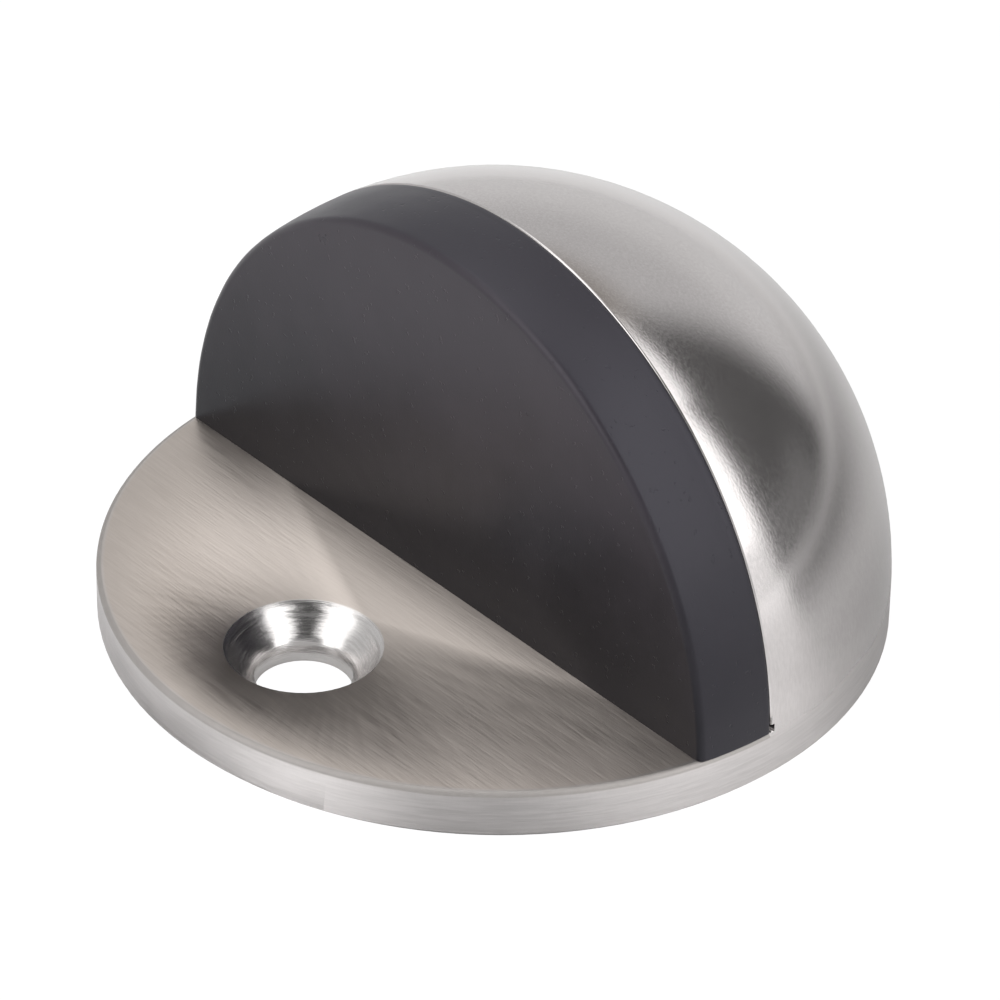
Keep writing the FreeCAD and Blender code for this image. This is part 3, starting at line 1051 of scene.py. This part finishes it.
@dataclass
class Studio:
    """White table, light tent and the camera.

    Angles are in degrees and the camera's and the sheets' places in millimetres. The tent's and the
    table's radii and the camera's clipping are in metres.
    """

    tent_radius: float = 2.0
    tent_fineness: int = 6
    tent_glow: float = 0.62
    warm_light: tuple[float, float, float] = (1.0, 0.93, 0.85)
    table_radius: float = 3.0
    table_turns: int = 96
    seen_height: float = -0.3
    seen_glow: float = 0.97
    bounce_height: float = -0.05
    bounce_white: float = 0.88
    # Painted shadows and painted pools of light on the sheet that the metal reflects.
    left_shadows: tuple[Pool, ...] = (
        Pool(151.0, 105.0, 126.0, 0.22),
        Pool(160.0, 400.0, 370.0, 0.16),
        Pool(160.0, 1300.0, 1150.0, 0.16),
    )
    shadows: tuple[Pool, ...] = (Pool(139.0, 30.0, 17.0, 0.50), Pool(48.8, 24.0, 12.0, 0.55))
    glows: tuple[Pool, ...] = (Pool(19.0, 24.0, 9.0, 0.45), Pool(84.0, 29.0, 17.0, 0.26))
    right_glow: Pool = Pool(122.0, 210.0, 200.0, 0.45)
    parting: float = 138.0
    parting_start: tuple[float, float] = (20.0, 5.0)
    parting_soft: float = 4.0
    panels: tuple[Panel, ...] = (
        Panel(-145.0, 8.0, 30.0, 13.0, 10.0, 0.76),
        Panel(-172.0, 62.0, 26.0, 14.0, 7.0, 0.30, 0.0, 1.0),
        Panel(150.5, 22.0, 27.0, 32.0, 8.0, 0.11, 8.0),
        Panel(152.0, 2.0, 13.0, 9.0, 5.0, 0.21),
        Panel(-90.0, 72.0, 24.0, 18.0, 6.0, 1.6),
        Panel(49.0, 58.0, 29.0, 24.0, 4.0, 0.05),
        Panel(-12.0, 35.0, 20.0, 27.0, 3.0, 1.9),
        Panel(112.0, 11.0, 25.0, 18.0, 1.5, 1.15),
        Panel(152.9, 57.8, 13.0, 12.2, 1.0, 1.6, 44.5),
        Panel(111.0, 38.6, 26.5, 27.0, 0.6, 2.0, -1.5),
    )
    azimuth: float = 48.76
    elevation: float = 34.16
    distance: float = 342.4
    lens: float = 216.6
    sensor: float = 36.0
    clip: tuple[float, float] = (0.01, 20.0)
    aim: tuple[float, float] = (0.28, 5.59)
    roll: float = 1.02

    def camera(self) -> None:
        """Places the camera."""
        azimuth, elevation = math.radians(self.azimuth), math.radians(self.elevation)
        level = math.cos(elevation)
        back = Vector((math.sin(azimuth) * level, -math.cos(azimuth) * level, math.sin(elevation)))
        right = Vector((math.cos(azimuth), math.sin(azimuth), 0.0))
        up = back.cross(right)
        place = (right * self.aim[0] + up * self.aim[1] + back * self.distance) * MM
        data = bpy.data.cameras.new("studio_camera")
        data.lens = self.lens
        data.sensor_width = self.sensor
        data.clip_start, data.clip_end = self.clip
        camera = bpy.data.objects.new("studio_camera", data)
        turn = Matrix((right, up, back)).transposed() @ Matrix.Rotation(math.radians(self.roll), 3, "Z")
        camera.matrix_world = Matrix.Translation(place) @ turn.to_4x4()
        bpy.context.scene.collection.objects.link(camera)
        bpy.context.scene.camera = camera

    def sheet(self, name: str, height: float, material: bpy.types.Material) -> bpy.types.Object:
        """A round flat sheet under the holder.

        Args:
            name: the sheet's name.
            height: its height, in millimetres.
            material: its finish.

        Returns:
            The sheet.
        """
        disc = bmesh.new()
        bmesh.ops.create_circle(disc, cap_ends=True, radius=self.table_radius, segments=self.table_turns)
        bmesh.ops.translate(disc, vec=(0.0, 0.0, height * MM), verts=disc.verts)
        data = bpy.data.meshes.new(name)
        disc.to_mesh(data)
        disc.free()
        data.materials.append(material)
        sheet = bpy.data.objects.new(name, data)
        bpy.context.scene.collection.objects.link(sheet)
        return sheet

    def right_of_parting(self, bench: NodeBench) -> Socket:
        """The part of the table to the right of the straight line that parts its painted shade from its
        light.

        Args:
            bench: the table's bench.

        Returns:
            1 on the side of smaller azimuth and 0 on the other.
        """
        turn = math.radians(self.parting)
        across, along = self.parting_start
        x = bench.maths("MULTIPLY", bench.maths("SUBTRACT", bench.along("X"), across), -math.cos(turn))
        y = bench.maths("MULTIPLY", bench.maths("SUBTRACT", bench.along("Y"), along), -math.sin(turn))
        return bench.step(bench.maths("ADD", x, y), -self.parting_soft, self.parting_soft)

    def floor(self) -> None:
        """A white table top, as a lit sheet that is looked at and a shade-painted one that the metal
        reflects.
        """
        white = (1.0, 1.0, 1.0, 1.0)
        seen = NodeBench("table_white").shade(
            Base_Color=(0.10, 0.10, 0.10, 1.0),
            Roughness=0.9,
            Emission_Color=white,
            Emission_Strength=self.seen_glow,
        )
        top = self.sheet("table_top", self.seen_height, seen)
        top.visible_diffuse = False
        top.visible_glossy = False
        top.visible_shadow = False
        # The reflected sheet: painted shadows darken its colour and painted pools of light glow on it.
        painted_light = NodeBench("table_painted_light")
        right = self.right_of_parting(painted_light)
        left = painted_light.maths("SUBTRACT", 1.0, right)
        shade: object = (self.bounce_white,) * 3
        for pool in self.left_shadows:
            dark = painted_light.maths("MULTIPLY", pool.share(painted_light), left)
            shade = painted_light.tint(dark, shade, (pool.tone,) * 3)
        for pool in self.shadows:
            shade = painted_light.tint(pool.share(painted_light), shade, (pool.tone,) * 3)
        glow: object = 0.0
        for pool in self.glows:
            glow = painted_light.maths("ADD", glow, painted_light.maths("MULTIPLY", pool.share(painted_light), pool.tone))
        lit = painted_light.maths("MULTIPLY", self.right_glow.share(painted_light), right)
        glow = painted_light.maths("ADD", glow, painted_light.maths("MULTIPLY", lit, self.right_glow.tone))
        bounced = painted_light.shade(Base_Color=shade, Roughness=0.8, Emission_Color=white, Emission_Strength=glow)
        under = self.sheet("table_bounce", self.bounce_height, bounced)
        under.visible_camera = False

    def light(self) -> None:
        """A light tent round the table, with soft panels and flags on its inside."""
        ball = bmesh.new()
        bmesh.ops.create_icosphere(ball, subdivisions=self.tent_fineness, radius=self.tent_radius)
        data = bpy.data.meshes.new("light_tent")
        ball.to_mesh(data)
        ball.free()
        glow = data.attributes.new("glow", "FLOAT", "POINT")
        warmth = data.attributes.new("warmth", "FLOAT", "POINT")
        for vertex, glow_here, warmth_here in zip(data.vertices, glow.data, warmth.data):
            glow_here.value = self.tent_glow
            for panel in self.panels:
                share = panel.share(vertex.co)
                glow_here.value += share * (panel.glow - glow_here.value)
                warmth_here.value += share * (panel.warmth - warmth_here.value)
        bench = NodeBench("tent_cloth")
        bench.material.cycles.emission_sampling = "NONE"
        lamp = bench.add("ShaderNodeEmission")
        bench.feed(lamp, "Strength", bench.add("ShaderNodeAttribute", attribute_name="glow").outputs["Fac"])
        warm_share = bench.add("ShaderNodeAttribute", attribute_name="warmth").outputs["Fac"]
        bench.feed(lamp, "Color", bench.tint(warm_share, (1.0, 1.0, 1.0), self.warm_light))
        output = bench.add("ShaderNodeOutputMaterial")
        bench.feed(output, "Surface", lamp.outputs[0])
        data.materials.append(bench.material)
        tent = bpy.data.objects.new("light_tent", data)
        bpy.context.scene.collection.objects.link(tent)
        tent.visible_camera = False
        world = bpy.data.worlds.new("white_room")
        world.use_nodes = True
        world.node_tree.nodes["Background"].inputs["Color"].default_value = (1.0, 1.0, 1.0, 1.0)
        bpy.context.scene.world = world

    def set_up(self) -> None:
        """Makes the whole studio."""
        self.floor()
        self.light()
        self.camera()
        view = bpy.context.scene.view_settings
        view.view_transform = "Standard"
        view.look = "None"


def main() -> None:
    """Builds the studio and every piece."""
    logging.basicConfig(level=logging.INFO, format="%(message)s")
    Studio().set_up()
    body = CastBody().build()
    LOG.info("built %s with %d faces", body.name, len(body.data.polygons))
    buffer = RubberBuffer().build()
    LOG.info("built %s with %d faces", buffer.name, len(buffer.data.polygons))
    for side in Side:
        screw = CrossHeadScrew(side).build()
        LOG.info("built %s with %d faces", screw.name, len(screw.data.polygons))
    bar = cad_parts["buffer_insert"]
    steel = PlainSteel("bar_steel").material()
    for holder in bar.material_slots:
        holder.material = steel
    LOG.info("dressed %s", bar.name)


if __name__ == "__main__":
    main()
